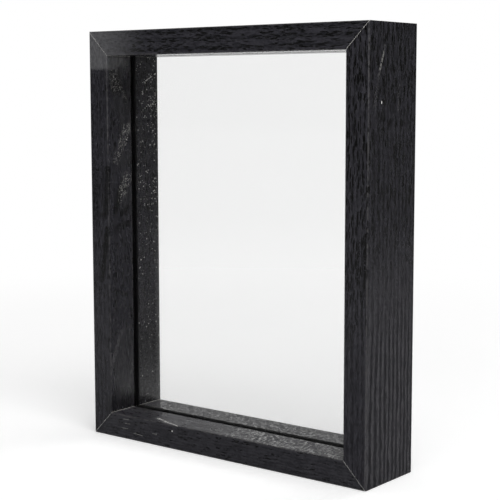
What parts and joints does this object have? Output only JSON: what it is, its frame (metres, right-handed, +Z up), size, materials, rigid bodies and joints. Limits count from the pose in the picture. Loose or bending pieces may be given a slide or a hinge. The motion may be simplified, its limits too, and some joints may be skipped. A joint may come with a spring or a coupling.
{
  "type": "butterfly display case",
  "caption": "Deep mitred open-backed wooden display case: a glass sandwich for a pressed butterfly, held half way down its depth by a lift-out retaining frame and turn buttons.",
  "frame": {"origin": "centre of the bottom face that the case stands on", "axes": "+X to the right seen from the front, +Y from the front face to the back, +Z up"},
  "size_m": [0.22, 0.054, 0.27],
  "materials": {
    "frame_wood": "open-pored hardwood stained black, satin",
    "retainer_wood": "open-pored hardwood stained black, satin",
    "glass": "clear polished",
    "foam": "matt closed-cell foam",
    "button_steel": "zinc plated",
    "screw_steel": "zinc plated",
    "nail_steel": "bare steel"
  },
  "bodies": {
    "case": {"bottom_rail": "frame_wood", "left_stile": "frame_wood", "top_rail": "frame_wood", "right_stile": "frame_wood", "frame_v_nails": "nail_steel", "front_pane": "glass", "spacer_bottom": "foam", "spacer_left": "foam", "spacer_top": "foam", "spacer_right": "foam", "button_screws": "screw_steel"},
    "retainer": {"retainer_bottom": "retainer_wood", "retainer_left": "retainer_wood", "retainer_top": "retainer_wood", "retainer_right": "retainer_wood", "retainer_v_nails": "nail_steel"},
    "rear_pane": {"rear_pane": "glass"},
    "button_bottom": {"button_bottom": "button_steel"},
    "button_left_lower": {"button_left_lower": "button_steel"},
    "button_left_upper": {"button_left_upper": "button_steel"},
    "button_top": {"button_top": "button_steel"},
    "button_right_upper": {"button_right_upper": "button_steel"},
    "button_right_lower": {"button_right_lower": "button_steel"}
  },
  "joints": [
    {"name": "button_bottom_turn", "type": "hinge", "parent": "case", "child": "button_bottom", "pos_m": [0, 0.0255, 0.0045], "axis": [0, -1, 0], "continuous": true},
    {"name": "button_left_lower_turn", "type": "hinge", "parent": "case", "child": "button_left_lower", "pos_m": [-0.1055, 0.0255, 0.062], "axis": [0, -1, 0], "continuous": true},
    {"name": "button_left_upper_turn", "type": "hinge", "parent": "case", "child": "button_left_upper", "pos_m": [-0.1055, 0.0255, 0.208], "axis": [0, -1, 0], "continuous": true},
    {"name": "button_top_turn", "type": "hinge", "parent": "case", "child": "button_top", "pos_m": [0, 0.0255, 0.2655], "axis": [0, -1, 0], "continuous": true},
    {"name": "button_right_upper_turn", "type": "hinge", "parent": "case", "child": "button_right_upper", "pos_m": [0.1055, 0.0255, 0.208], "axis": [0, -1, 0], "continuous": true},
    {"name": "button_right_lower_turn", "type": "hinge", "parent": "case", "child": "button_right_lower", "pos_m": [0.1055, 0.0255, 0.062], "axis": [0, -1, 0], "continuous": true},
    {"name": "retainer_slide", "type": "slide", "parent": "case", "child": "retainer", "axis": [0, 1, 0], "range_m": [0, 0.06]},
    {"name": "rear_pane_slide", "type": "slide", "parent": "case", "child": "rear_pane", "axis": [0, 1, 0], "range_m": [0, 0.03]}
  ],
  "couplings": [
    {"joint": "rear_pane_slide", "follows": "retainer_slide", "ratio": 0.5}
  ]
}
